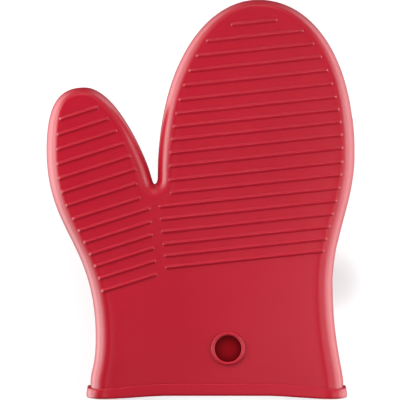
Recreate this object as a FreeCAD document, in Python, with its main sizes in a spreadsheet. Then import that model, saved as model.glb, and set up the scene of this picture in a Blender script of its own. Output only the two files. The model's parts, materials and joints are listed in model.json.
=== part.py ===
"""Silicone oven mitt, lying on its back with the palm face up.

+X runs across the mitt away from the thumb, +Y along it towards the fingertips, +Z up through its
thickness. The finished part's origin is the bottom centre of its box. Every piece is drawn with the
middle of the cuff opening at the origin and the parting plane at z = 0, and is then moved by one
shared offset. The mitt bends at two folds, one across the fingers and one across the thumb, so its
skin is divided there into three bodies: hand, fingers and thumb.
"""
import FreeCAD, Part
import math
import os

import Sketcher
from FreeCAD import Placement, Rotation, Vector

SIZES = {
    "mitt_length": (270, "cuff edge to fingertips"),
    "cuff_width": (170.6, "outside of the cuff wall"),
    "cuff_straight": (8, "length of the straight wall at the cuff"),
    "cuff_ease": (12, "handle of the curves that leave the cuff"),
    "waist_in_right": (7.2, "how far the wrist is drawn in from the cuff, finger side"),
    "waist_in_left": (3.5, "how far the wrist is drawn in from the cuff, thumb side"),
    "waist_rise": (76, "cuff edge to the narrowest place on the finger side"),
    "waist_ease": (36, "handles there"),
    "waist_drop": (35, "how much nearer the cuff the narrowest place on the thumb side is"),
    "waist_ease_down": (20, "handle there, towards the cuff"),
    "waist_ease_up": (65, "handle there, towards the thumb"),
    "hand_reach": (92.9, "centre line to the widest place of the fingers"),
    "hand_rise": (166, "cuff edge to the widest place of the fingers"),
    "hand_ease": (34, "handle there, towards the wrist"),
    "shoulder_right": (38, "fingertips down to the upper handle of the outside of the fingers"),
    "shoulder_left": (44, "fingertips down to the upper handle of the thumb side of the fingers"),
    "tip_offset": (28.2, "centre line to the top of the fingers"),
    "tip_ease": (35.5, "handles there"),
    "finger_left": (39.8, "centre line to the thumb side of the fingers"),
    "crotch_offset": (42.2, "centre line to the bottom of the notch"),
    "crotch_rise": (145.2, "cuff edge to the bottom of the notch"),
    "crotch_round": (5, "rise of the rounded bottom of the notch, finger side"),
    "crotch_side_ease": (3, "handle where that rounding meets the side of the fingers"),
    "crotch_ease": (1.5, "handles at the bottom of the notch"),
    "notch_run": (4.9, "across, from the bottom of the notch to the straight of the thumb's inside"),
    "notch_climb": (13, "along, from the bottom of the notch to the straight of the thumb's inside"),
    "notch_ease": (8.19, "handle at the lower end of the thumb's inside, along its slope"),
    "thumb_ease": (20, "handle at the upper end of the notch, along its slope"),
    "thumb_reach": (115.1, "centre line to the outside of the thumb"),
    "thumb_rise": (168.4, "cuff edge to the widest place of the thumb"),
    "thumb_ease_up": (30, "handle there, towards the top of the thumb"),
    "thumb_ease_down": (56, "handle there, towards the wrist"),
    "thumb_tip_offset": (89.6, "centre line to the top of the thumb"),
    "thumb_tip_rise": (210.6, "cuff edge to the top of the thumb"),
    "thumb_tip_ease": (18, "handles there"),
    "half_depth": (18, "parting plane to either face"),
    "side_radius": (10, "rounding between a face and the side walls"),
    "skin": (2.2, "wall of the moulding"),
    "band_height": (7.6, "cuff band, along the mitt"),
    "band_side": (2.7, "cuff band, beyond the side walls"),
    "band_rounding": (1.2, "edges of the cuff band"),
    "rib_height": (1.6, "ribs and cuff band, above either face"),
    "rib_width": (2.6, "foot of a rib"),
    "rib_rounding": (1.1, "top edges of a rib"),
    "rib_margin": (7.6, "outline to the end of a rib"),
    "crotch_margin": (11.8, "bottom of the notch to the end of a rib"),
    "first_rib_trim": (7, "what each end of the first finger rib is shorter by"),
    "finger_tilt": (6.1, "degrees, finger ribs and fold"),
    "finger_pitch": (9.05, "ribs beyond the finger fold"),
    "palm_pitch": (8.55, "ribs between the finger fold and the wrist"),
    "thumb_tilt": (17.6, "degrees, thumb ribs and fold"),
    "thumb_pitch": (9.5, "ribs beyond the thumb fold"),
    "thumb_base_pitch": (8.75, "ribs between the thumb fold and the wrist"),
    "strip_offset": (28, "centre line to the plain strip beside the thumb ribs, along the finger ribs"),
    "strip_width": (5.8, "that plain strip"),
    "finger_fold_rise": (156.7, "finger fold, where it crosses the centre line"),
    "fold_gap": (0.4, "clearance between two bodies at a fold"),
    "ring_offset": (7.6, "centre line to the hanging hole"),
    "ring_rise": (34.1, "cuff edge to the hanging hole"),
    "hole_radius": (9.05, "hanging hole"),
    "ring_width": (2.4, "rim round the hanging hole"),
    "ring_height": (1.6, "that rim, above the palm face"),
    "ring_rounding": (0.7, "edges of the rim"),
}
TOLERANCE = 1e-6
UP = Vector(0, 0, 1)
ZONE_OVERHANG = 30
FINGER_RIBS = 11
PALM_RIBS = 8
THUMB_RIBS = 7
THUMB_BASE_RIBS = 7

doc = FreeCAD.newDocument("oven_mitt")
sheet = doc.addObject("Spreadsheet::Sheet", "Sizes")
for row, (alias, (value, note)) in enumerate(SIZES.items(), start=1):
    sheet.set(f"A{row}", alias)
    sheet.set(f"B{row}", str(value))
    sheet.setAlias(f"B{row}", alias)
    sheet.set(f"C{row}", note)
doc.recompute()


def size(alias):
    """The sheet's value for a Python-made shape."""
    return float(sheet.get(alias))


def bind(thing, prop, formula):
    """Tie one property to the sheet; each {name} in the formula is an alias."""
    for alias in sorted(SIZES, key=len, reverse=True):
        formula = formula.replace("{" + alias + "}", "Sizes." + alias)
    thing.setExpression(prop, formula)


def sketch_on(body, name, role):
    """A sketch on one of the body's own origin planes."""
    plane = next(item for item in body.Origin.OriginFeatures if item.Role == role)
    sketch = body.newObject("Sketcher::SketchObject", name)
    sketch.AttachmentSupport = [(plane, "")]
    sketch.MapMode = "FlatFace"
    return sketch


def dimension(sketch, kind, geometry, point, formula):
    """Distance of a point from the sketch's origin along x or y, tied to the sheet."""
    index = sketch.addConstraint(Sketcher.Constraint(kind, -1, 1, geometry, point, 1.0))
    bind(sketch, f"Constraints[{index}]", formula)


# The outline, anticlockwise from the cuff: each stretch is a cubic curve that starts where the last one
# ended. Its two handles follow the tangents at its ends.
WAIST_RIGHT = "({cuff_width} / 2 - {waist_in_right})"
WAIST_LEFT = "({cuff_width} / 2 - {waist_in_left})"
WAIST_LEFT_RISE = "({waist_rise} - {waist_drop})"
NOTCH_SLOPE = "sqrt({notch_run} * {notch_run} + {notch_climb} * {notch_climb})"
START = ("{cuff_width} / 2", "{cuff_straight}")
NOTCH_SIDE = ("-{crotch_offset} - {notch_run}", "{crotch_rise} + {notch_climb}")
NOTCH_LOWER = (
    "-{crotch_offset} - {notch_run} + {notch_ease} * {notch_run} / " + NOTCH_SLOPE,
    "{crotch_rise} + {notch_climb} - {notch_ease} * {notch_climb} / " + NOTCH_SLOPE,
)
NOTCH_UPPER = (
    "-{crotch_offset} - {notch_run} - {thumb_ease} * {notch_run} / " + NOTCH_SLOPE,
    "{crotch_rise} + {notch_climb} + {thumb_ease} * {notch_climb} / " + NOTCH_SLOPE,
)
STRETCHES = [
    (("{cuff_width} / 2", "{cuff_straight} + {cuff_ease}"), (WAIST_RIGHT, "{waist_rise} - {waist_ease}"),
     (WAIST_RIGHT, "{waist_rise}")),
    ((WAIST_RIGHT, "{waist_rise} + {waist_ease}"), ("{hand_reach}", "{hand_rise} - {hand_ease}"),
     ("{hand_reach}", "{hand_rise}")),
    (("{hand_reach}", "{mitt_length} - {shoulder_right}"), ("{tip_offset} + {tip_ease}", "{mitt_length}"),
     ("{tip_offset}", "{mitt_length}")),
    (("{tip_offset} - {tip_ease}", "{mitt_length}"), ("-{finger_left}", "{mitt_length} - {shoulder_left}"),
     ("-{finger_left}", "{crotch_rise} + {crotch_round}")),
    (("-{finger_left}", "{crotch_rise} + {crotch_round} - {crotch_side_ease}"),
     ("-{crotch_offset} + {crotch_ease}", "{crotch_rise}"), ("-{crotch_offset}", "{crotch_rise}")),
    (("-{crotch_offset} - {crotch_ease}", "{crotch_rise}"), NOTCH_LOWER, NOTCH_SIDE),
    (NOTCH_UPPER, ("-{thumb_tip_offset} + {thumb_tip_ease}", "{thumb_tip_rise}"),
     ("-{thumb_tip_offset}", "{thumb_tip_rise}")),
    (("-{thumb_tip_offset} - {thumb_tip_ease}", "{thumb_tip_rise}"),
     ("-{thumb_reach}", "{thumb_rise} + {thumb_ease_up}"), ("-{thumb_reach}", "{thumb_rise}")),
    (("-{thumb_reach}", "{thumb_rise} - {thumb_ease_down}"),
     ("-" + WAIST_LEFT, WAIST_LEFT_RISE + " + {waist_ease_up}"), ("-" + WAIST_LEFT, WAIST_LEFT_RISE)),
    (("-" + WAIST_LEFT, WAIST_LEFT_RISE + " - {waist_ease_down}"),
     ("-{cuff_width} / 2", "{cuff_straight} + {cuff_ease}"), ("-{cuff_width} / 2", "{cuff_straight}")),
]


def draw_outline(sketch):
    """The mitt's silhouette: ten curves, and the cuff's two straight sides and its edge."""
    curves = []
    for number, (handle_a, handle_b, end) in enumerate(STRETCHES):
        places = [START, handle_a, handle_b, end]
        circles = []
        for position, (x_formula, y_formula) in enumerate(places):
            seed = Part.Circle(Vector(len(places) * number + position, position, 0), UP, 1.0)
            circle = sketch.addGeometry(seed, True)
            circles.append(circle)
            if number and position == 0:
                continue
            dimension(sketch, "DistanceX", circle, 3, x_formula)
            dimension(sketch, "DistanceY", circle, 3, y_formula)
        seeds = [sketch.Geometry[circle].Center for circle in circles]
        curve = sketch.addGeometry(Part.BSplineCurve(seeds, None, None, False, 3, None, False), False)
        for position, circle in enumerate(circles):
            kind = "InternalAlignment:Sketcher::BSplineControlPoint"
            sketch.addConstraint(Sketcher.Constraint(kind, circle, 3, curve, position))
        if curves:
            sketch.addConstraint(Sketcher.Constraint("Coincident", curves[-1], 2, curve, 1))
        curves.append(curve)
    reach = size("cuff_width") / 2
    straight = size("cuff_straight")
    cuff = [(-reach, straight), (-reach, 0), (reach, 0), (reach, straight)]
    corners = [Vector(x, y, 0) for x, y in cuff]
    left, edge, right = [
        sketch.addGeometry(Part.LineSegment(start, end), False) for start, end in zip(corners, corners[1:])
    ]
    loop = [curves[-1], left, edge, right, curves[0]]
    for first, second in zip(loop, loop[1:]):
        sketch.addConstraint(Sketcher.Constraint("Coincident", first, 2, second, 1))
    for line in (left, right):
        sketch.addConstraint(Sketcher.Constraint("Vertical", line))
    for end in (1, 2):
        sketch.addConstraint(Sketcher.Constraint("PointOnObject", edge, end, -1))


def round_edges(body, name, chosen, radius):
    """A fillet on those edges of the body's last feature that the test picks."""
    base = body.Tip
    fillet = body.newObject("PartDesign::Fillet", name)
    edges = [f"Edge{number}" for number, edge in enumerate(base.Shape.Edges, start=1) if chosen(edge)]
    fillet.Base = (base, edges)
    bind(fillet, "Radius", radius)
    doc.recompute()


def shell(name, reverse):
    """One half of the hollow moulding, open along the parting plane and at the cuff."""
    body = doc.addObject("PartDesign::Body", name)
    sketch = sketch_on(body, name + "_outline", "XY_Plane")
    draw_outline(sketch)
    block = body.newObject("PartDesign::Pad", name + "_block")
    block.Profile = sketch
    block.Reversed = reverse
    bind(block, "Length", "{half_depth}")
    doc.recompute()
    face_z = -size("half_depth") if reverse else size("half_depth")

    def rim(edge):
        on_face = all(abs(vertex.Z - face_z) < TOLERANCE for vertex in edge.Vertexes)
        return on_face and any(vertex.Y > TOLERANCE for vertex in edge.Vertexes)

    round_edges(body, name + "_rounded", rim, "{side_radius}")
    rounded = body.Tip
    open_sides = [
        f"Face{number}"
        for number, face in enumerate(rounded.Shape.Faces, start=1)
        if all(abs(vertex.Z) < TOLERANCE for vertex in face.Vertexes)
        or all(abs(vertex.Y) < TOLERANCE for vertex in face.Vertexes)
    ]
    hollow = body.newObject("PartDesign::Thickness", name + "_hollow")
    hollow.Base = (rounded, open_sides)
    hollow.Reversed = True
    bind(hollow, "Value", "{skin}")
    doc.recompute()
    return body


def zone(name, tilt, rise, left, right, start):
    """A tall block from a fold line outwards: it holds what lies beyond that fold."""
    box = doc.addObject("Part::Box", name)
    bind(box, "Length", f"{left} + {right}")
    bind(box, "Width", "{mitt_length}")
    bind(box, "Height", "4 * {half_depth}")
    box.Placement = Placement(Vector(), Rotation(UP, size("finger_tilt")))
    bind(box, "Placement.Rotation.Angle", tilt)
    cosine = f"cos({tilt} * 1 deg)"
    sine = f"sin({tilt} * 1 deg)"
    bind(box, "Placement.Base.x", f"-({left}) * {cosine} - ({start}) * {sine}")
    bind(box, "Placement.Base.y", f"{rise} - ({left}) * {sine} + ({start}) * {cosine}")
    bind(box, "Placement.Base.z", "-2 * {half_depth}")
    return box


THUMB_FOLD_RISE = "({crotch_rise} + {crotch_offset} * tan({thumb_tilt} * 1 deg))"


def finger_zone(name, start):
    """Everything beyond the finger fold: its left edge runs up the notch."""
    right = f"({{hand_reach}} + {ZONE_OVERHANG})"
    return zone(name, "{finger_tilt}", "{finger_fold_rise}", "{crotch_offset}", right, start)


def thumb_zone(name, start):
    """Everything beyond the thumb fold, which meets the bottom of the notch."""
    right = "(-{crotch_offset} / cos({thumb_tilt} * 1 deg))"
    left = f"({{thumb_reach}} + {ZONE_OVERHANG})"
    return zone(name, "{thumb_tilt}", THUMB_FOLD_RISE, left, right, start)


def combine(kind, name, first, second):
    """A boolean of two objects of this document."""
    result = doc.addObject(kind, name)
    result.Base = first
    result.Tool = second
    return result


def rectangle(sketch, half_width, height):
    """A rectangle centred on the sketch's y axis, with its foot on the x axis."""
    reach = size("cuff_width") / 2
    top = size("half_depth")
    corners = [Vector(-reach, 0, 0), Vector(reach, 0, 0), Vector(reach, top, 0), Vector(-reach, top, 0)]
    sides = []
    for start, end in zip(corners, corners[1:] + corners[:1]):
        sides.append(sketch.addGeometry(Part.LineSegment(start, end), False))
    for first, second in zip(sides, sides[1:] + sides[:1]):
        sketch.addConstraint(Sketcher.Constraint("Coincident", first, 2, second, 1))
    foot, right, face, left = sides
    for line in (foot, face):
        sketch.addConstraint(Sketcher.Constraint("Horizontal", line))
    for line in (left, right):
        sketch.addConstraint(Sketcher.Constraint("Vertical", line))
    sketch.addConstraint(Sketcher.Constraint("PointOnObject", foot, 1, -1))
    dimension(sketch, "DistanceX", foot, 1, f"-({half_width})")
    dimension(sketch, "DistanceX", foot, 2, half_width)
    dimension(sketch, "DistanceY", face, 1, height)


def cuff_block(name, half_width, height, corner, through=False):
    """A block with the cuff's section, as long as the band, or running past both its ends."""
    body = doc.addObject("PartDesign::Body", name)
    section = sketch_on(body, name + "_section", "XZ_Plane")
    rectangle(section, half_width, height)
    block = body.newObject("PartDesign::Pad", name + "_pad")
    block.Profile = section
    block.Reversed = True
    block.Midplane = through
    bind(block, "Length", "4 * {band_height}" if through else "{band_height}")
    doc.recompute()
    top = block.Shape.BoundBox.ZMax

    def long_top(edge):
        on_top = all(abs(vertex.Z - top) < TOLERANCE for vertex in edge.Vertexes)
        return on_top and abs(edge.Vertexes[0].Y - edge.Vertexes[-1].Y) > TOLERANCE

    round_edges(body, name + "_corners", long_top, corner)
    return body


def cuff_band(name):
    """Half of the thick band round the cuff, seated on the shell's outside."""
    reach = "{cuff_width} / 2 + {band_side}"
    corner = "{side_radius} + {rib_height}"
    outer = cuff_block(name + "_outer", reach, "{half_depth} + {rib_height}", corner)

    def end_rim(edge):
        level = abs(edge.Vertexes[0].Y - edge.Vertexes[-1].Y) < TOLERANCE
        return level and any(vertex.Z > TOLERANCE for vertex in edge.Vertexes)

    round_edges(outer, name + "_edges", end_rim, "{band_rounding}")
    inner = cuff_block(name + "_inner", "{cuff_width} / 2", "{half_depth}", "{side_radius}", through=True)
    return combine("Part::Cut", name, outer, inner)


def hanging_ring():
    """The raised rim round the hanging hole, seated on the palm face."""
    body = doc.addObject("PartDesign::Body", "hanging_ring")
    sketch = sketch_on(body, "hanging_ring_plan", "XY_Plane")
    bind(sketch, "AttachmentOffset.Base.z", "{half_depth}")
    for radius in ("{hole_radius}", "{hole_radius} + {ring_width}"):
        seed = Part.Circle(Vector(size("ring_offset"), size("ring_rise"), 0), UP, size("hole_radius"))
        circle = sketch.addGeometry(seed, False)
        dimension(sketch, "DistanceX", circle, 3, "{ring_offset}")
        dimension(sketch, "DistanceY", circle, 3, "{ring_rise}")
        index = sketch.addConstraint(Sketcher.Constraint("Radius", circle, size("hole_radius")))
        bind(sketch, f"Constraints[{index}]", radius)
    rim = body.newObject("PartDesign::Pad", "hanging_ring_pad")
    rim.Profile = sketch
    bind(rim, "Length", "{ring_height}")
    doc.recompute()
    top = size("half_depth") + size("ring_height")

    def upper(edge):
        return all(abs(vertex.Z - top) < TOLERANCE for vertex in edge.Vertexes)

    round_edges(body, "hanging_ring_rounded", upper, "{ring_rounding}")
    return body


def rib(start, end):
    """One rib on the palm face: a round-ended bar with soft top edges."""
    along = (end - start).normalize()
    across = Vector(-along.y, along.x, 0) * (size("rib_width") / 2)
    cap = along * (size("rib_width") / 2)
    near = start + cap
    far = end - cap
    outline = Part.Wire([
        Part.LineSegment(near - across, far - across).toShape(),
        Part.Arc(far - across, far + cap, far + across).toShape(),
        Part.LineSegment(far + across, near + across).toShape(),
        Part.Arc(near + across, near - cap, near - across).toShape(),
    ])
    bar = Part.Face(outline).extrude(Vector(0, 0, size("rib_height")))
    top = start.z + size("rib_height")
    edges = [edge for edge in bar.Edges if all(abs(vertex.Z - top) < TOLERANCE for vertex in edge.Vertexes)]
    return bar.makeFillet(size("rib_rounding"), edges)


def rib_places(tilt, crossing, pitch, count, room, trim_last=0):
    """End points of a row of ribs. The row steps by pitch from half a pitch beyond the fold, whose
    line crosses the centre line at crossing; a rib runs as far as its room allows."""
    along = Vector(math.cos(tilt), math.sin(tilt), 0)
    step = Vector(-along.y, along.x, 0) * pitch
    middle = Vector(0, crossing, size("half_depth"))
    reach = 2 * size("mitt_length")
    places = []
    for number in range(count):
        centre = middle + step * (number + 0.5)
        line = Part.LineSegment(centre - along * reach, centre + along * reach).toShape()
        stretch = max(line.common(room).Edges, key=lambda edge: edge.Length)
        trim = along * (trim_last if number == count - 1 else 0)
        ends = sorted((vertex.Point for vertex in stretch.Vertexes), key=lambda point: point.x)
        places.append((ends[0] + trim, ends[1] - trim))
    return places


def rib_rooms(outline):
    """The rooms on the palm face that ribs may fill, as low blocks: the thumb's, then the hand's."""
    face = Part.Face(Part.Wire(Part.sortEdges(outline.Edges)[0]))
    inset = face.makeOffset2D(-size("rib_margin"))
    crotch = Vector(-size("crotch_offset"), size("crotch_rise"), 0)
    disc = Part.Face(Part.Wire(Part.Circle(crotch, UP, size("crotch_margin")).toShape()))
    tilt = math.radians(size("finger_tilt"))
    across = Vector(math.cos(tilt), math.sin(tilt), 0)
    up = Vector(-across.y, across.x, 0)
    halves = []
    for side in (-1, 1):
        near = across * (side * size("strip_width") / 2 - size("strip_offset"))
        far = across * (side * 2 * size("mitt_length"))
        tall = up * (2 * size("mitt_length"))
        corners = [near - tall, near + tall, far + tall, far - tall, near - tall]
        halves.append(Part.Face(Part.makePolygon(corners)))
    rooms = []
    for half in halves:
        room = inset.cut(disc).common(half).extrude(UP * (2 * size("skin")))
        room.translate(UP * (size("half_depth") - size("skin")))
        rooms.append(room)
    return rooms


def rib_group(name, places, side):
    """A row of ribs on the palm face, or mirrored onto the back for side -1."""
    group = doc.addObject("Part::Feature", name)
    ribs = Part.makeCompound([rib(start, end) for start, end in places])
    group.Shape = ribs if side == 1 else ribs.mirror(Vector(), UP)
    return group


front_half = shell("front_half", False)
back_half = shell("back_half", True)

beyond_fingers = finger_zone("beyond_finger_fold", "{fold_gap} / 2")
before_fingers = finger_zone("up_to_finger_fold", "-{fold_gap} / 2")
beyond_thumb = thumb_zone("beyond_thumb_fold", "{fold_gap} / 2")
before_thumb = thumb_zone("up_to_thumb_fold", "-{fold_gap} / 2")
hole = doc.addObject("Part::Cylinder", "hanging_hole")
bind(hole, "Radius", "{hole_radius}")
bind(hole, "Height", "2 * {half_depth}")
bind(hole, "Placement.Base.x", "{ring_offset}")
bind(hole, "Placement.Base.y", "{ring_rise}")
folded_parts = combine("Part::Fuse", "folded_parts", before_fingers, before_thumb)
palm_openings = combine("Part::Fuse", "palm_openings", folded_parts, hole)

pieces = [
    combine("Part::Cut", "palm_shell", front_half, palm_openings),
    combine("Part::Cut", "back_shell", back_half, folded_parts),
    combine("Part::Common", "finger_front_shell", front_half, beyond_fingers),
    combine("Part::Common", "finger_back_shell", back_half, beyond_fingers),
    combine("Part::Common", "thumb_front_shell", front_half, beyond_thumb),
    combine("Part::Common", "thumb_back_shell", back_half, beyond_thumb),
    cuff_band("cuff_band_front"),
    cuff_band("cuff_band_back"),
    hanging_ring(),
]
doc.getObject("cuff_band_back").Placement.Rotation = Rotation(Vector(0, 1, 0), 180)
doc.recompute()

thumb_room, hand_room = rib_rooms(front_half.Group[0].Shape)
finger_tilt = math.radians(size("finger_tilt"))
thumb_tilt = math.radians(size("thumb_tilt"))
finger_line = size("finger_fold_rise")
thumb_line = size("crotch_rise") + size("crotch_offset") * math.tan(thumb_tilt)
trim = size("first_rib_trim")
rows = {
    "finger": rib_places(finger_tilt, finger_line, size("finger_pitch"), FINGER_RIBS, hand_room, trim),
    "hand": rib_places(finger_tilt, finger_line, -size("palm_pitch"), PALM_RIBS, hand_room),
    "thumb": rib_places(thumb_tilt, thumb_line, size("thumb_pitch"), THUMB_RIBS, thumb_room),
    "thumb_base": rib_places(thumb_tilt, thumb_line, -size("thumb_base_pitch"), THUMB_BASE_RIBS, thumb_room),
}
for row, places in rows.items():
    pieces.append(rib_group(f"{row}_front_ribs", places, 1))
    pieces.append(rib_group(f"{row}_back_ribs", places, -1))

for piece in pieces:
    piece.Label = piece.Name
    bind(piece, "Placement.Base.x", "({thumb_reach} - {hand_reach}) / 2")
    bind(piece, "Placement.Base.y", "-{mitt_length} / 2")
    bind(piece, "Placement.Base.z", "{half_depth} + {rib_height}")
doc.recompute()

for thing in doc.Objects:
    if "Invalid" in thing.State or "Error" in thing.State:
        raise RuntimeError(f"{thing.Name} failed: {thing.State}")
for piece in pieces:
    if piece.Shape.isNull() or not piece.Shape.isValid() or not piece.Shape.Solids:
        raise RuntimeError(f"{piece.Label} has no valid solid")

os.makedirs("parts", exist_ok=True)
for piece in pieces:
    piece.Shape.exportStep(f"parts/{piece.Label}.step")
    print(piece.Label, len(piece.Shape.Solids), round(piece.Shape.Volume, 1))
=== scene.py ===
import json
import math

import bmesh
import bpy
import numpy as np
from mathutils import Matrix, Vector
from mathutils.geometry import delaunay_2d_cdt
from mathutils.kdtree import KDTree


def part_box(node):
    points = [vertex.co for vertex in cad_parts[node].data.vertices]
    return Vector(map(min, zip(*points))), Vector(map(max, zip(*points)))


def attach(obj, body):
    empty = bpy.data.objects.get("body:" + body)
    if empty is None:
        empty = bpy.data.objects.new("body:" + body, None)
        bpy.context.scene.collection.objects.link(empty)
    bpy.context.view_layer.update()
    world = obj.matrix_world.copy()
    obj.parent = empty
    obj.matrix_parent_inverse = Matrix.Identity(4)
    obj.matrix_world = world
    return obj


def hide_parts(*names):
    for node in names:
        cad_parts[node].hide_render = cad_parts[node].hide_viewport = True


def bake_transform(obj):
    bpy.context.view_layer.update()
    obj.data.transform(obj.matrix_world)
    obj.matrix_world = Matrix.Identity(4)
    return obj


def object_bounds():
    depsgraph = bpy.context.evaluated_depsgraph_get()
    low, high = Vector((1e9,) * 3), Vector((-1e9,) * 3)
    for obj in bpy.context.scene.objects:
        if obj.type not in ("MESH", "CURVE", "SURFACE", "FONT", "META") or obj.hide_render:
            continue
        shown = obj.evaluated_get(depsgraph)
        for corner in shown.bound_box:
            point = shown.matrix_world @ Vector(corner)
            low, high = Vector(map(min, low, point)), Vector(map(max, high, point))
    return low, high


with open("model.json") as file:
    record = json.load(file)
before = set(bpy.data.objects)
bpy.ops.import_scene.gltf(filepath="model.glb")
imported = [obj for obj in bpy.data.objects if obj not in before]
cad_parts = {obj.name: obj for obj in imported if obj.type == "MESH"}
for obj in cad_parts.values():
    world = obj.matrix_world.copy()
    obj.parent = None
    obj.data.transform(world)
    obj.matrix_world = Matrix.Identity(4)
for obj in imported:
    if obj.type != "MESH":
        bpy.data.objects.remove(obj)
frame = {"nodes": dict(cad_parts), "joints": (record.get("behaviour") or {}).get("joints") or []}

MM = 0.001


def corners(node):
    """Lowest and highest corner of a CAD node, as two arrays in millimetres."""
    low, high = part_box(node)
    return np.array(low) / MM, np.array(high) / MM


CAD_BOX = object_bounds()
palm_low, palm_high = corners("palm_shell")
band_low, band_high = corners("cuff_band_front")
rib_low, rib_high = corners("finger_front_ribs")
ring_low, ring_high = corners("hanging_ring")

ORIGIN = np.array([(band_low[0] + band_high[0]) / 2, band_low[1], palm_low[2]])
HALF_DEPTH = palm_high[2] - palm_low[2]
RIB_HEIGHT = rib_high[2] - rib_low[2]
BAND_RISE = band_high[2] - palm_high[2]
RING_RADIUS = (ring_high[0] - ring_low[0]) / 2
RING_CENTRE = ((ring_low + ring_high) / 2 - ORIGIN)[:2]
RING_HEIGHT = ring_high[2] - ring_low[2]

SKIN = 2.2
RING_WIDTH = 2.4
HOLE_RADIUS = RING_RADIUS - RING_WIDTH
EDGE_HEIGHT = 10.0
EDGE_PLAN_CUFF = 9.8
CUFF_HALF = 85.3
CUFF_STRAIGHT = 8.0
# How far the moulding gives, in millimetres: the mouth's edge on the faces and at the parting line, the palm
# face's sag and wave, and the trough inside the rounding.
MOUTH_BOW, PARTING_BOW = 2.15, 1.9
SAG, WAVE, TROUGH = 1.2, 0.3, 0.1
BAND_SIDE = (band_high[0] - band_low[0]) / 2 - CUFF_HALF
# Spacing of the points over a face, and sides of the circle cut out of it and of the rim round the hole.
FACE_SPACING = 2.0
HOLE_SIDES, RIM_SIDES = 64, 96
# Points nearer to the parting plane than this lie on it.
ON_PARTING = 1e-6

# The outline, anticlockwise from the cuff's right side: handle, handle, end of each cubic stretch.
OUTLINE_START = (CUFF_HALF, CUFF_STRAIGHT)
OUTLINE = [
    ((CUFF_HALF, 20.0), (78.1, 40.0), (78.1, 76.0)),
    ((78.1, 112.0), (92.9, 132.0), (92.9, 166.0)),
    ((92.9, 232.0), (63.7, 270.0), (28.2, 270.0)),
    ((-7.3, 270.0), (-39.8, 226.0), (-39.8, 150.2)),
    ((-39.8, 147.2), (-40.7, 145.2), (-42.2, 145.2)),
    ((-43.7, 145.2), (-44.2, 150.5), (-47.1, 158.2)),
    ((-54.2, 176.9), (-71.6, 210.6), (-89.6, 210.6)),
    ((-107.6, 210.6), (-115.1, 198.4), (-115.1, 168.4)),
    ((-115.1, 112.4), (-81.8, 106.0), (-81.8, 41.0)),
    ((-81.8, 21.0), (-CUFF_HALF, 20.0), (-CUFF_HALF, CUFF_STRAIGHT)),
]
NOTCH = np.array([-42.2, 145.2])
FINGER_TILT = math.atan2(*[frame["joints"][0]["axis"][i] for i in (1, 0)])
THUMB_TILT = math.atan2(*[frame["joints"][1]["axis"][i] for i in (1, 0)])


def ease(value):
    """Smooth step from 0 to 1."""
    value = np.clip(value, 0.0, 1.0)
    return value * value * (3 - 2 * value)


def place(points):
    """Plan millimetres to frame metres."""
    return (np.asarray(points, float) + ORIGIN) * MM


# ---------------------------------------------------------------- the fold lines

FINGER_FOLD = np.array(frame["joints"][0]["pos_m"][:2]) / MM - ORIGIN[:2]
THUMB_FOLD = np.array(frame["joints"][1]["pos_m"][:2]) / MM - ORIGIN[:2]


def beyond(points, through, tilt):
    """How far points lie beyond a fold line."""
    up = np.array([-math.sin(tilt), math.cos(tilt)])
    return (np.asarray(points)[..., :2] - through) @ up


def body_of(point):
    """The body that a place in the plan belongs to."""
    if point[0] < NOTCH[0]:
        return "thumb" if beyond(point, THUMB_FOLD, THUMB_TILT) > 0 else "hand"
    return "fingers" if beyond(point, FINGER_FOLD, FINGER_TILT) > 0 else "hand"


# ---------------------------------------------------------------- shape of the soft body


def outline_chain():
    """Points along the silhouette and their inward normals."""
    points = [np.array([CUFF_HALF, level]) for level in np.linspace(0, CUFF_STRAIGHT, 6)[:-1]]
    tangents = [np.array([0.0, 1.0])] * len(points)
    start = np.array(OUTLINE_START)
    for handles in OUTLINE:
        a, b, end = (np.array(handle) for handle in handles)
        reach = np.linalg.norm(a - start) + np.linalg.norm(b - a) + np.linalg.norm(end - b)
        count = max(10, int(reach / 2.0))
        for t in np.arange(count) / count:
            u = 1 - t
            points.append(u**3 * start + 3 * u * u * t * a + 3 * u * t * t * b + t**3 * end)
            slope = u * u * (a - start) + 2 * u * t * (b - a) + t * t * (end - b)
            tangents.append(slope / np.linalg.norm(slope))
        start = end
    for level in np.linspace(CUFF_STRAIGHT, 0, 6):
        points.append(np.array([-CUFF_HALF, level]))
        tangents.append(np.array([0.0, -1.0]))
    tangents = np.array(tangents)
    return np.array(points), np.stack([-tangents[:, 1], tangents[:, 0]], axis=1)


CHAIN, INWARD = outline_chain()
COUNT = len(CHAIN)
# How wide the rounding between side wall and face looks from above, and how sharp its shoulder is (an
# exponent, 2 for an ellipse), at places round the outline.
ROUNDINGS = np.array([
    (-84, 10, 9.8, 2.0), (-82, 55, 9.8, 1.9), (-115, 165, 7.8, 1.6), (-90, 210, 5.6, 1.8),
    (-60, 185, 6.0, 1.9), (-42, 145, 9.6, 2.0), (-40, 175, 10.6, 2.0), (-28, 220, 8.8, 1.9),
    (28, 270, 5.2, 2.0), (78, 232, 8.0, 1.8), (93, 165, 8.8, 1.7), (80, 85, 9.4, 1.95), (84, 10, 9.8, 2.0),
])


def outline_values(points):
    """Width and shoulder of the rounding near places of the plan."""
    apart = np.linalg.norm(points[:, None, :2] - ROUNDINGS[None, :, :2], axis=2)
    weight = 1 / (apart + 8) ** 3
    weight /= weight.sum(axis=1)[:, None]
    return weight @ ROUNDINGS[:, 2], weight @ ROUNDINGS[:, 3]


EDGE, SHOULDER = outline_values(CHAIN)
EDGE = np.where(CHAIN[:, 1] < 20, EDGE_PLAN_CUFF + (EDGE - EDGE_PLAN_CUFF) * ease(CHAIN[:, 1] / 20), EDGE)
SHOULDER = 2 + (SHOULDER - 2) * ease(CHAIN[:, 1] / 20)
STEPS = (0.5, 1.1, 1.8, 2.6)
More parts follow.
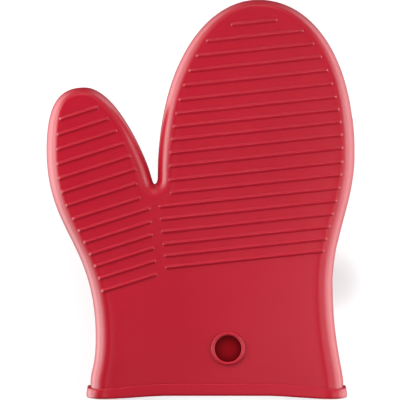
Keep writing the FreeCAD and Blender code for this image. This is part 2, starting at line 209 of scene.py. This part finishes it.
# The flash along the parting line: thicker on the right side, where it also steps in and out at three places.
FLASH = 0.2 + 0.3 * ease((CHAIN[:, 0] - 20) / 40)
for rise, step in ((190, -0.22), (105, 0.2), (76, -0.16)):
    FLASH = FLASH + np.where(CHAIN[:, 0] > 0, step * ease((CHAIN[:, 1] - rise + 0.8) / 1.6), 0)


NEAREST = KDTree(COUNT)
for number, (x, y) in enumerate(CHAIN):
    NEAREST.insert((x, y, 0), number)
NEAREST.balance()


def from_outline(points):
    """Distance of places inside the outline from it, less the width of the rounding there."""
    found = [NEAREST.find((x, y, 0))[1:] for x, y in points[:, :2]]
    return np.array([distance - EDGE[number] for number, distance in found])


def relax(points):
    """The moulding's slight give: the mouth's edge bows in, the palm face sags and waves a little, and a
    shallow trough runs inside the rounding."""
    points = np.array(points, float)
    x, y, z = points.T
    half, height = np.abs(x), np.clip(np.abs(z) / HALF_DEPTH, 0, 1)
    bow = MOUTH_BOW * (1 - ease((half - 32) / 46)) * ease((height - 0.5) / 0.4) + PARTING_BOW * (1 - height)
    points[:, 1] += bow * (1 + 0.08 * np.clip(y, 0, 7.6)) * ease(1 - y / 26)
    across = np.clip(1 - (x / CUFF_HALF) ** 2, 0, 1)
    sag = -SAG * across * np.exp(-(((y - 10) / 62) ** 2))
    wave = WAVE * np.sin(x / 27 + 0.9) * np.sin(y / 36 + 0.4) * across
    inside = np.clip(from_outline(points), 0, None) / 3.2
    trough = -TROUGH * (inside * np.exp(1 - inside)) ** 2
    points[:, 2] += np.sign(z) * ease((np.abs(z) - 4) / 9) * trough
    points[:, 2] += np.where(z > 0, ease(z / HALF_DEPTH) * (sag + wave), 0)
    return points


def skin_rings(wall):
    """Rings from the parting line to the edge of the face: inset and height per chain point.
    wall is 0 for the outside and SKIN for the inside."""
    none = np.zeros(COUNT)
    rings = []
    if wall:
        rings.append((none + wall, none))
    else:
        for inset, height in ((-1.0, 0.0), (-0.95, 0.16), (-0.25, 0.36), (0.0, 0.6)):
            rings.append((inset * FLASH, none + height))
    straight = HALF_DEPTH - EDGE_HEIGHT
    for height in np.linspace(0, straight, 5)[1:]:
        rings.append((none + wall, none + height))
    for angle in np.linspace(0, math.pi / 2, 19)[1:]:
        inset = wall + (EDGE - wall) * (1 - math.cos(angle) ** (2 / SHOULDER))
        height = straight + (EDGE_HEIGHT - wall) * math.sin(angle) ** (2 / SHOULDER)
        rings.append((inset, height))
    for step in STEPS:
        rings.append((EDGE + step, none + HALF_DEPTH - wall))
    return rings


def face_fill(hole):
    """Triangles over the flat of a face, inside the last ring. hole is the radius cut out of it, or 0."""
    ring = CHAIN + INWARD * (EDGE + STEPS[-1])[:, None]
    mouth = [np.array([x, 0.0]) for x in np.linspace(ring[-1][0], ring[0][0], 62)[1:-1]]
    border = list(ring) + mouth
    edges = [(i, (i + 1) % len(border)) for i in range(len(border))]
    circle = []
    if hole:
        for angle in np.linspace(0, 2 * math.pi, HOLE_SIDES, endpoint=False):
            circle.append(RING_CENTRE + hole * np.array([math.cos(angle), math.sin(angle)]))
        edges += [(len(border) + i, len(border) + (i + 1) % HOLE_SIDES) for i in range(HOLE_SIDES)]
    inner = CHAIN + INWARD * (EDGE + STEPS[-1] + 1.2)[:, None]
    loose = []
    for row, y in enumerate(np.arange(1.6, 275, FACE_SPACING * 0.87)):
        crossings = []
        for (x0, y0), (x1, y1) in zip(inner, np.roll(inner, -1, axis=0)):
            if (y0 > y) != (y1 > y):
                crossings.append(x0 + (x1 - x0) * (y - y0) / (y1 - y0))
        crossings.sort()
        for low, high in zip(crossings[::2], crossings[1::2]):
            start = math.ceil(low / FACE_SPACING) * FACE_SPACING + (row % 2) * FACE_SPACING / 2
            for x in np.arange(start, high, FACE_SPACING):
                point = np.array([x, y])
                if not hole or np.linalg.norm(point - RING_CENTRE) > hole + 1.4:
                    loose.append(point)
    vertices = [Vector(point) for point in border + circle + loose]
    points, _, faces = delaunay_2d_cdt(vertices, edges, [], 1, 1e-5)[:3]
    points = np.array(points)
    kept = []
    for face in faces:
        centre = points[list(face)].mean(axis=0)
        if not hole or np.linalg.norm(centre - RING_CENTRE) > hole:
            kept.append(tuple(face))
    return points, kept


def skin_half(side):
    """Vertices and faces of one half of the hollow body, in plan millimetres, and where the faces of its
    inside begin."""
    vertices, faces = [], []
    for wall in (0.0, SKIN):
        inner_from = len(faces)
        hole = 0
        if side > 0:
            hole = HOLE_RADIUS if wall else HOLE_RADIUS + RING_WIDTH / 2
        flat, triangles = face_fill(hole)
        start = len(vertices)
        rings = skin_rings(wall)
        for inset, height in rings:
            for point, normal, depth, level in zip(CHAIN, INWARD, inset, height):
                vertices.append((*(point + normal * depth), side * level))
        outward = (side > 0) != (wall > 0)
        for row in range(len(rings) - 1):
            for column in range(COUNT - 1):
                a = start + row * COUNT + column
                quad = (a, a + 1, a + COUNT + 1, a + COUNT)
                faces.append(quad if outward else quad[::-1])
        last = start + (len(rings) - 1) * COUNT
        numbers = [last + index for index in range(COUNT)]
        for index in range(COUNT, len(flat)):
            numbers.append(len(vertices))
            vertices.append((*flat[index], side * (HALF_DEPTH - wall)))
        for face in triangles:
            corner_numbers = tuple(numbers[index] for index in face)
            faces.append(corner_numbers if outward else corner_numbers[::-1])
    return np.array(vertices), faces, inner_from


# ---------------------------------------------------------------- pieces


def mesh_object(name, vertices, faces, materials, normals=None, inner=None):
    """A smooth object from plan points. inner marks the faces that take the second material."""
    mesh = bpy.data.meshes.new(name)
    mesh.from_pydata([tuple(vertex) for vertex in place(vertices)], [], faces)
    mesh.update()
    for material in materials:
        mesh.materials.append(material)
    if inner is not None:
        mesh.polygons.foreach_set("material_index", np.array(inner, np.int32))
    mesh.shade_smooth()
    if normals is not None:
        mesh.normals_split_custom_set_from_vertices(normals)
    thing = bpy.data.objects.new(name, mesh)
    bpy.context.scene.collection.objects.link(thing)
    return thing


def level_normals(mesh, points):
    """Vertex normals, laid into the parting plane where the mould's two halves meet."""
    normals = np.zeros(len(points) * 3)
    mesh.vertex_normals.foreach_get("vector", normals)
    normals = normals.reshape(-1, 3)
    normals[np.abs(points[:, 2]) < ON_PARTING, 2] = 0
    return normals / np.linalg.norm(normals, axis=1)[:, None]


def settle(thing, body, *nodes):
    """The piece is hung on the hand's body if it belongs to the hand, or else has its placement baked into
    its points, and the nodes it stands for are hidden.
    """
    if body == "hand":
        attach(thing, "hand")
    else:
        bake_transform(thing)
    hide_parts(*nodes)


def cut_at_folds(bm):
    """Edges along both fold lines, so that the skin parts cleanly there."""
    for through, tilt, is_mine in (
        (FINGER_FOLD, FINGER_TILT, lambda x: x > NOTCH[0]),
        (THUMB_FOLD, THUMB_TILT, lambda x: x < NOTCH[0] + 1e-6),
    ):
        point = Vector((*through, 0))
        normal = Vector((-math.sin(tilt), math.cos(tilt), 0))
        chosen = [face for face in bm.faces if is_mine(face.calc_center_median().x)]
        around = set(chosen)
        for face in chosen:
            around.update(face.edges)
            around.update(face.verts)
        bmesh.ops.bisect_plane(bm, geom=list(around), dist=1e-4, plane_co=point, plane_no=normal)


def build_skin(side, materials):
    """The hollow body's half, parted at the folds into three pieces that shade as one."""
    vertices, faces, inner_from = skin_half(side)
    bm = bmesh.new()
    made = [bm.verts.new(vertex) for vertex in vertices]
    for number, face in enumerate(faces):
        bm.faces.new([made[index] for index in face]).material_index = int(number >= inner_from)
    cut_at_folds(bm)
    bm.normal_update()
    bm.verts.index_update()
    bodies = [body_of(face.calc_center_median()) for face in bm.faces]
    inside = [face.material_index for face in bm.faces]
    points = relax([vertex.co for vertex in bm.verts])
    whole = bpy.data.meshes.new("whole")
    polygons = [[vertex.index for vertex in face.verts] for face in bm.faces]
    bm.free()
    whole.from_pydata([tuple(point) for point in points], [], polygons)
    normals = level_normals(whole, points)
    bpy.data.meshes.remove(whole)
    names = {
        ("hand", 1): ("palm_skin", "palm_shell"), ("hand", -1): ("back_skin", "back_shell"),
        ("fingers", 1): ("finger_front_skin", "finger_front_shell"),
        ("fingers", -1): ("finger_back_skin", "finger_back_shell"),
        ("thumb", 1): ("thumb_front_skin", "thumb_front_shell"),
        ("thumb", -1): ("thumb_back_skin", "thumb_back_shell"),
    }
    for body in ("hand", "fingers", "thumb"):
        chosen = [polygon for polygon, owner in zip(polygons, bodies) if owner == body]
        used = sorted({index for polygon in chosen for index in polygon})
        renamed = {old: new for new, old in enumerate(used)}
        mine = [[renamed[index] for index in polygon] for polygon in chosen]
        name, cad_node = names[body, side]
        kinds = [kind for kind, owner in zip(inside, bodies) if owner == body]
        piece = mesh_object(name, points[used], mine, materials, normals[used], kinds)
        settle(piece, body, cad_node)


def sweep(loops):
    """Vertices and quads of a skin over closed loops of equal length."""
    count = len(loops[0])
    vertices = [point for loop in loops for point in loop]
    faces = []
    for row in range(len(loops) - 1):
        for column in range(count):
            after = (column + 1) % count
            a, b = row * count, (row + 1) * count
            faces.append((a + column, a + after, b + after, b + column))
    return vertices, faces


# Half the section of a rib of this height: distance from its middle, and height, from below the face to the
# crest, which is soft and stays under the full height.
PROFILE_HEIGHT = 1.6
RIB_PROFILE = [(2.0, -0.5), (1.75, -0.06)] + [
    (1.6 * reach, 1.36 * math.cos(math.pi / 2 * reach) ** 1.7) for reach in np.linspace(0.97, 0, 10)
]


def drift(cad_node, level):
    """How far a rib sits nearer the cuff than its even spacing would have it."""
    if cad_node.startswith("finger"):
        return 0.5 + 1.5 * math.exp(-(((level - 207) / 26) ** 2))
    if cad_node.startswith("hand"):
        return 1.1 - 1.6 * float(ease((118 - level) / 30))
    return 1.6 if cad_node.startswith("thumb_base") else 0.75


def rib_ends(cad_node, tilt):
    """End points of every rib of a CAD group, in the plan."""
    thing = frame["nodes"][cad_node]
    points = np.array([vertex.co for vertex in thing.data.vertices]) / MM - ORIGIN
    along = np.array([math.cos(tilt), math.sin(tilt)])
    across = np.array([-along[1], along[0]])
    run, level = points[:, :2] @ along, points[:, :2] @ across
    order = np.argsort(level)
    breaks = np.where(np.diff(level[order]) > 2.0)[0] + 1
    ends = []
    for group in np.split(order, breaks):
        middle = (level[group].min() + level[group].max()) / 2
        start, end = (along * run[group].min() + across * middle, along * run[group].max() + across * middle)
        shift = np.array([0.0, -drift(cad_node, (start[1] + end[1]) / 2)])
        longer = np.array([-0.9, -0.3]) if cad_node.startswith("thumb_front") else np.zeros(2)
        ends.append((start + shift + longer, end + shift))
    return ends


def build_ribs(name, cad_node, body, tilt, side, material):
    """A group of ribs whose feet flare into the face."""
    vertices, faces = [], []
    for start, end in rib_ends(cad_node, tilt):
        along = (end - start) / np.linalg.norm(end - start)
        across = np.array([-along[1], along[0]])
        near, far = start + along * 1.3, end - along * 1.3
        steps = max(4, int(np.linalg.norm(far - near) / 2.6))
        loops = []
        for reach, height in RIB_PROFILE:
            loop = [near + (far - near) * t - across * reach for t in np.linspace(0, 1, steps)]
            turn = np.linspace(-math.pi / 2, math.pi / 2, 9)[1:-1]
            loop += [far + (along * math.cos(a) + across * math.sin(a)) * reach for a in turn]
            loop += [far + (near - far) * t + across * reach for t in np.linspace(0, 1, steps)]
            loop += [near - (along * math.cos(a) + across * math.sin(a)) * reach for a in turn]
            level = HALF_DEPTH + height * RIB_HEIGHT / PROFILE_HEIGHT
            loops.append([(*point, level) for point in loop])
        points, quads = sweep(loops)
        shift = len(vertices)
        points = relax(points)
        points[:, 2] *= side
        vertices += list(points)
        for quad in quads:
            shifted = tuple(index + shift for index in quad)
            faces.append(shifted if side > 0 else shifted[::-1])
    ribs = mesh_object(name, vertices, faces, [material])
    bm = bmesh.new()
    bm.from_mesh(ribs.data)
    bmesh.ops.remove_doubles(bm, verts=bm.verts, dist=1e-6)
    bm.to_mesh(ribs.data)
    bm.free()
    ribs.data.shade_smooth()
    settle(ribs, body, cad_node)


def build_ring(material):
    """The rim of the hanging hole, down through the wall of the palm."""
    middle = HOLE_RADIUS + RING_WIDTH / 2
    top = HALF_DEPTH + RING_HEIGHT
    profile = [
        (RING_RADIUS + 0.5, HALF_DEPTH - 0.5), (RING_RADIUS + 0.25, HALF_DEPTH - 0.05),
        (RING_RADIUS + 0.08, HALF_DEPTH + 0.15), (RING_RADIUS, HALF_DEPTH + 0.5),
        (RING_RADIUS - 0.12, top - 0.6), (RING_RADIUS - 0.38, top - 0.25), (RING_RADIUS - 0.8, top - 0.04),
        (middle, top), (HOLE_RADIUS + 0.75, top - 0.05), (HOLE_RADIUS + 0.3, top - 0.28),
        (HOLE_RADIUS + 0.08, top - 0.65), (HOLE_RADIUS, top - 1.2), (HOLE_RADIUS, HALF_DEPTH - 0.6),
        (HOLE_RADIUS, HALF_DEPTH - SKIN + 0.5), (HOLE_RADIUS + 0.1, HALF_DEPTH - SKIN + 0.15),
        (HOLE_RADIUS + 0.6, HALF_DEPTH - SKIN - 0.05),
    ]
    loops = []
    for radius, level in profile:
        turns = np.linspace(0, 2 * math.pi, RIM_SIDES, endpoint=False)
        plan = [RING_CENTRE + radius * np.array([math.cos(turn), math.sin(turn)]) for turn in turns]
        loops.append([(*point, level) for point in plan])
    points, faces = sweep(loops)
    ring = mesh_object("hanging_rim", relax(points), faces, [material])
    settle(ring, "hand", "hanging_ring")


def build_band(side, material):
    """Half of the cuff's thick band, with the wall's end inside it."""
    profile_rise = 2.7
    profile = [  # distance out from the wall's outside, and distance from the mouth
        (-SKIN, 6.0), (-SKIN, 1.0), (-SKIN + 0.3, 0.35), (-SKIN + 0.95, 0.0), (0.0, 0.0),
        (1.2, 0.0), (2.0, 0.15), (2.5, 0.5), (2.72, 1.1), (2.78, 1.8), (2.7, 3.2), (2.5, 4.8), (2.3, 6.2),
        (2.15, 6.85), (1.85, 7.3), (1.35, 7.52), (0.7, 7.6), (0.1, 7.64), (-0.5, 7.7),
    ]
    section, outward = [], []
    for level in np.linspace(0, HALF_DEPTH - EDGE_HEIGHT, 5)[:-1]:
        section.append((CUFF_HALF, level))
        outward.append((1.0, 0.0))
    for angle in np.linspace(0, math.pi / 2, 17):
        section.append((
            CUFF_HALF - EDGE_PLAN_CUFF * (1 - math.cos(angle)),
            HALF_DEPTH - EDGE_HEIGHT + EDGE_HEIGHT * math.sin(angle),
        ))
        slope = np.array([math.cos(angle) / EDGE_PLAN_CUFF, math.sin(angle) / EDGE_HEIGHT])
        outward.append(tuple(slope / np.linalg.norm(slope)))
    for x in np.linspace(CUFF_HALF - EDGE_PLAN_CUFF, 0, 40)[1:]:
        section.append((x, HALF_DEPTH))
        outward.append((0.0, 1.0))
    section += [(-x, level) for x, level in section[-2::-1]]
    outward += [(-x, level) for x, level in outward[-2::-1]]
    loops = []
    for out, along in profile:
        loop = []
        for (x, level), (out_x, out_z) in zip(section, outward):
            # The band stands proud by less on the faces than at the sides.
            proud = (abs(out_x) * BAND_SIDE + out_z * BAND_RISE) / profile_rise
            share = out if out <= 0 else out * proud
            tall = 1 - 0.12 * ease((abs(x) - 55) / 30)
            loop.append((x + out_x * share, along * tall, level + out_z * share))
        loops.append(loop)
    count = len(section)
    points = relax([point for loop in loops for point in loop])
    points[:, 2] *= side
    faces = []
    for row in range(len(loops) - 1):
        for column in range(count - 1):
            a, b = row * count + column, (row + 1) * count + column
            quad = (a, a + 1, b + 1, b)
            faces.append(quad[::-1] if side > 0 else quad)
    name = "cuff_rim_front" if side > 0 else "cuff_rim_back"
    band = mesh_object(name, points, faces, [material])
    band.data.normals_split_custom_set_from_vertices(level_normals(band.data, points))
    settle(band, "hand", "cuff_band_front" if side > 0 else "cuff_band_back")


# ---------------------------------------------------------------- material


def node(tree, kind, **values):
    """A shader node with the given properties and input values."""
    made = tree.nodes.new(kind)
    for key, value in values.items():
        if key in made.inputs:
            made.inputs[key].default_value = value
        else:
            setattr(made, key, value)
    return made


def ramp(tree, source, start, end, smooth=False):
    """A node that maps one range of a value to another. start and end are each a value in and a value out."""
    kind = "SMOOTHSTEP" if smooth else "LINEAR"
    made = node(tree, "ShaderNodeMapRange", interpolation_type=kind)
    for label, pair in (("Min", start), ("Max", end)):
        made.inputs[f"From {label}"].default_value = pair[0]
        made.inputs[f"To {label}"].default_value = pair[1]
    tree.links.new(source, made.inputs["Value"])
    return made.outputs["Result"]


def silicone(name, glow=0.0, roughness=0.26, specular=1.0):
    """Satin red silicone: faint clouding of the colour, painted shade that darkens the colour in corners and
    crevices, fine moulding grain.
    glow is the strength of a painted glow on the inside walls, an emission standing in for the light that
    comes through the wall."""
    material = bpy.data.materials.new(name)
    material.use_nodes = True
    tree = material.node_tree
    shader = tree.nodes["Principled BSDF"]
    where = tree.nodes.new("ShaderNodeTexCoord")
    clouds = node(tree, "ShaderNodeTexNoise", Scale=14.0, Detail=3.0, Roughness=0.55)
    colour = tree.nodes.new("ShaderNodeValToRGB")
    colour.color_ramp.elements[0].position = 0.3
    colour.color_ramp.elements[0].color = (0.367, 0.0056, 0.0182, 1)
    colour.color_ramp.elements[1].position = 0.7
    colour.color_ramp.elements[1].color = (0.40, 0.0067, 0.021, 1)
    tree.links.new(where.outputs["Object"], clouds.inputs["Vector"])
    tree.links.new(clouds.outputs["Fac"], colour.inputs["Fac"])
    # Painted shade: the colour is darkened where ambient occlusion finds corners and crevices, and more
    # strongly on the inside walls.
    painted_shade_ao = node(tree, "ShaderNodeAmbientOcclusion", samples=8, Distance=0.004)
    darkest, lightest = (0.3, 0.45) if glow else (0.8, 1.0)
    shade = ramp(tree, painted_shade_ao.outputs["AO"], (0.45, darkest), (0.98, lightest))
    painted_corner_shade = node(tree, "ShaderNodeMix", data_type="RGBA", blend_type="MULTIPLY")
    painted_corner_shade.inputs["Factor"].default_value = 1.0
    tree.links.new(colour.outputs["Color"], painted_corner_shade.inputs[6])
    tree.links.new(shade, painted_corner_shade.inputs[7])
    tree.links.new(painted_corner_shade.outputs[2], shader.inputs["Base Color"])
    smudges = node(tree, "ShaderNodeTexNoise", Scale=60.0, Detail=4.0, Roughness=0.6)
    tree.links.new(where.outputs["Object"], smudges.inputs["Vector"])
    gloss = ramp(tree, smudges.outputs["Fac"], (0.0, roughness), (1.0, roughness + 0.07))
    tree.links.new(gloss, shader.inputs["Roughness"])
    grain = node(tree, "ShaderNodeTexNoise", Scale=900.0, Detail=2.0, Roughness=0.5)
    bump = node(tree, "ShaderNodeBump", Strength=0.12, Distance=0.0002)
    tree.links.new(where.outputs["Object"], grain.inputs["Vector"])
    tree.links.new(grain.outputs["Fac"], bump.inputs["Height"])
    tree.links.new(bump.outputs["Normal"], shader.inputs["Normal"])
    shader.inputs["Specular IOR Level"].default_value = specular
    shader.inputs["IOR"].default_value = 1.75
    if glow:
        # Painted light: the inside walls glow faintly in place of the light that comes through the wall, and
        # a brighter painted patch stands in for the light that falls in through the hanging hole.
        shader.inputs["Emission Color"].default_value = (0.5, 0.008, 0.016, 1)
        split = tree.nodes.new("ShaderNodeSeparateXYZ")
        flat = tree.nodes.new("ShaderNodeCombineXYZ")
        apart = node(tree, "ShaderNodeVectorMath", operation="DISTANCE")
        middle = place([*(RING_CENTRE + np.array([0.6, -1.2])), 0])
        apart.inputs[1].default_value = (middle[0], middle[1], 0)
        tree.links.new(where.outputs["Object"], split.inputs["Vector"])
        tree.links.new(split.outputs["X"], flat.inputs["X"])
        tree.links.new(split.outputs["Y"], flat.inputs["Y"])
        tree.links.new(flat.outputs["Vector"], apart.inputs[0])
        patch = ramp(tree, apart.outputs["Value"], (0.0125, glow), (0.001, glow + 0.4), smooth=True)
        tree.links.new(patch, shader.inputs["Emission Strength"])
    return material


# ---------------------------------------------------------------- table, lights, camera


# Where the paper's own light is changed: centre, inner and outer radius in metres, and the change.
# Painted light and shadow: the paper is made brighter in the notch of the thumb and below the cuff, which
# takes out the mitt's shade there, and a painted shadow greys it a little beside the wrist.
PAINTED_PAPER_LIGHT = (
    ((-0.036, 0.03, 0.0), 0.02, 0.06, 0.42),
    ((0.091, -0.056, 0.0), 0.004, 0.03, -0.25),
    ((0.011, -0.17, 0.0), 0.036, 0.1, 0.25),
)


def table_top():
    """The white table, a little uneven in tone like a roll of paper."""
    bpy.ops.mesh.primitive_plane_add(size=60, location=(0, 0, CAD_BOX[0][2] - 0.0004))
    table = bpy.context.object
    table.name = "table"
    material = bpy.data.materials.new("paper")
    material.use_nodes = True
    tree = material.node_tree
    shader = tree.nodes["Principled BSDF"]
    noise = node(tree, "ShaderNodeTexNoise", Scale=3.0, Detail=2.0)
    colour = tree.nodes.new("ShaderNodeValToRGB")
    colour.color_ramp.elements[0].color = (0.56, 0.61, 0.61, 1)
    colour.color_ramp.elements[1].color = (0.60, 0.65, 0.65, 1)
    tree.links.new(noise.outputs["Fac"], colour.inputs["Fac"])
    tree.links.new(colour.outputs["Color"], shader.inputs["Base Color"])
    shader.inputs["Roughness"].default_value = 0.8
    shader.inputs["Specular IOR Level"].default_value = 0.0
    shader.inputs["Emission Color"].default_value = (1, 1, 1, 1)
    # Away from the mitt the softboxes reach it less, and the room's own light takes over.
    where = tree.nodes.new("ShaderNodeTexCoord")
    apart = node(tree, "ShaderNodeVectorMath", operation="LENGTH")
    tree.links.new(where.outputs["Object"], apart.inputs[0])
    glow = ramp(tree, apart.outputs["Value"], (0.2, 0.44), (0.7, 0.85), smooth=True)
    # Each patch adds painted light or painted shadow to the paper's glow.
    for centre, inner, outer, gain in PAINTED_PAPER_LIGHT:
        apart = node(tree, "ShaderNodeVectorMath", operation="DISTANCE")
        apart.inputs[1].default_value = centre
        tree.links.new(where.outputs["Object"], apart.inputs[0])
        patch = ramp(tree, apart.outputs["Value"], (inner, gain), (outer, 0.0), smooth=True)
        total = node(tree, "ShaderNodeMath", operation="ADD")
        tree.links.new(glow, total.inputs[0])
        tree.links.new(patch, total.inputs[1])
        glow = total.outputs["Value"]
    tree.links.new(glow, shader.inputs["Emission Strength"])
    table.data.materials.append(material)
    # The mitt's sides mirror the walls, not the paper.
    table.visible_glossy = False


def soft_light(name, place_at, width, height, power, glossy=False):
    """A rectangular softbox, aimed at the mitt. Unless glossy, it isn't mirrored in what it lights."""
    aim = (0, 0, 0.02)
    data = bpy.data.lights.new(name, "AREA")
    data.shape = "RECTANGLE"
    data.size, data.size_y = width, height
    data.energy = power
    thing = bpy.data.objects.new(name, data)
    bpy.context.scene.collection.objects.link(thing)
    thing.location = place_at
    thing.rotation_mode = "QUATERNION"
    thing.rotation_quaternion = (Vector(aim) - Vector(place_at)).to_track_quat("-Z", "Y")
    thing.visible_glossy = glossy


def lights():
    """A room with glowing side walls and a dimmer far wall, a faint softbox above, four round the table."""
    soft_light("top_box", (0.27, -0.12, 0.9), 0.42, 0.42, 0.155, glossy=True)
    soft_light("right_box", (0.32, -0.14, 0.38), 0.3, 0.3, 1.5)
    soft_light("right_low", (0.6, 0.05, 0.2), 0.4, 0.25, 2.1)
    soft_light("left_box", (-0.5, 0.12, 0.36), 0.4, 0.3, 4.0)
    soft_light("far_box", (0.0, 0.9, 0.6), 0.9, 0.4, 6.5)
    world = bpy.data.worlds.new("room")
    world.use_nodes = True
    tree = world.node_tree
    sky = tree.nodes.new("ShaderNodeTexCoord")
    split = tree.nodes.new("ShaderNodeSeparateXYZ")
    tree.links.new(sky.outputs["Generated"], split.inputs["Vector"])

    def maths(operation, a, b=0.0):
        made = node(tree, "ShaderNodeMath", operation=operation)
        for socket, value in zip(made.inputs, (a, b)):
            if isinstance(value, float):
                socket.default_value = value
            else:
                tree.links.new(value, socket)
        return made.outputs["Value"]

    x, y, z = (split.outputs[axis] for axis in "XYZ")
    walls = maths("SUBTRACT", 2.6, maths("MULTIPLY", x, 0.45))
    above = maths("ADD", 4.0, maths("MULTIPLY", maths("GREATER_THAN", x, 0.0), 3.0))
    spread = maths("ADD", 2.0, maths("MULTIPLY", maths("GREATER_THAN", z, 0.0), above))
    # The walls are dark just above the table, so that a flat face seen from the side keeps its colour.
    # Below the horizon they are bright, which only the lower sides of the mitt mirror.
    raised = maths("ADD", z, maths("MULTIPLY", maths("LESS_THAN", z, 0.0), 2.0))
    skirting = ramp(tree, raised, (0.04, 0.05), (0.2, 1.0), smooth=True)
    sides = maths("MULTIPLY", maths("POWER", maths("ABSOLUTE", x), spread), walls)
    sides = maths("MULTIPLY", sides, skirting)
    up_and_far = maths("MULTIPLY", maths("MAXIMUM", y, 0.0), maths("MAXIMUM", z, 0.0))
    glow = maths("ADD", maths("ADD", sides, maths("MULTIPLY", up_and_far, 0.12)), 0.005)
    tree.links.new(glow, tree.nodes["Background"].inputs["Strength"])
    tree.nodes["Background"].inputs["Color"].default_value = (1, 1, 1, 1)
    bpy.context.scene.world = world


def camera():
    """Straight above, far off, with a field as wide as the mitt is long."""
    data = bpy.data.cameras.new("camera")
    thing = bpy.data.objects.new("camera", data)
    bpy.context.scene.collection.objects.link(thing)
    distance, wide = 6.0, 0.271
    data.sensor_width = 36
    data.lens = 36 * distance / wide
    data.clip_start, data.clip_end = 0.05, 50
    thing.location = (-0.00024, -0.00051, ORIGIN[2] * MM + distance)
    bpy.context.scene.camera = thing
    bpy.context.scene.view_settings.view_transform = "Standard"


SILICONE = silicone("silicone")
GRIP = silicone("silicone_grip", roughness=0.42, specular=0.85)
INSIDE = silicone("silicone_inside", glow=0.06, specular=0.15)
for half in (1, -1):
    build_skin(half, [SILICONE, INSIDE])
    build_band(half, SILICONE)
    end = "front" if half > 0 else "back"
    build_ribs(f"finger_{end}_grip", f"finger_{end}_ribs", "fingers", FINGER_TILT, half, GRIP)
    build_ribs(f"palm_{end}_grip", f"hand_{end}_ribs", "hand", FINGER_TILT, half, GRIP)
    build_ribs(f"thumb_{end}_grip", f"thumb_{end}_ribs", "thumb", THUMB_TILT, half, GRIP)
    build_ribs(f"thumb_base_{end}_grip", f"thumb_base_{end}_ribs", "hand", THUMB_TILT, half, GRIP)
build_ring(GRIP)
table_top()
lights()
camera()
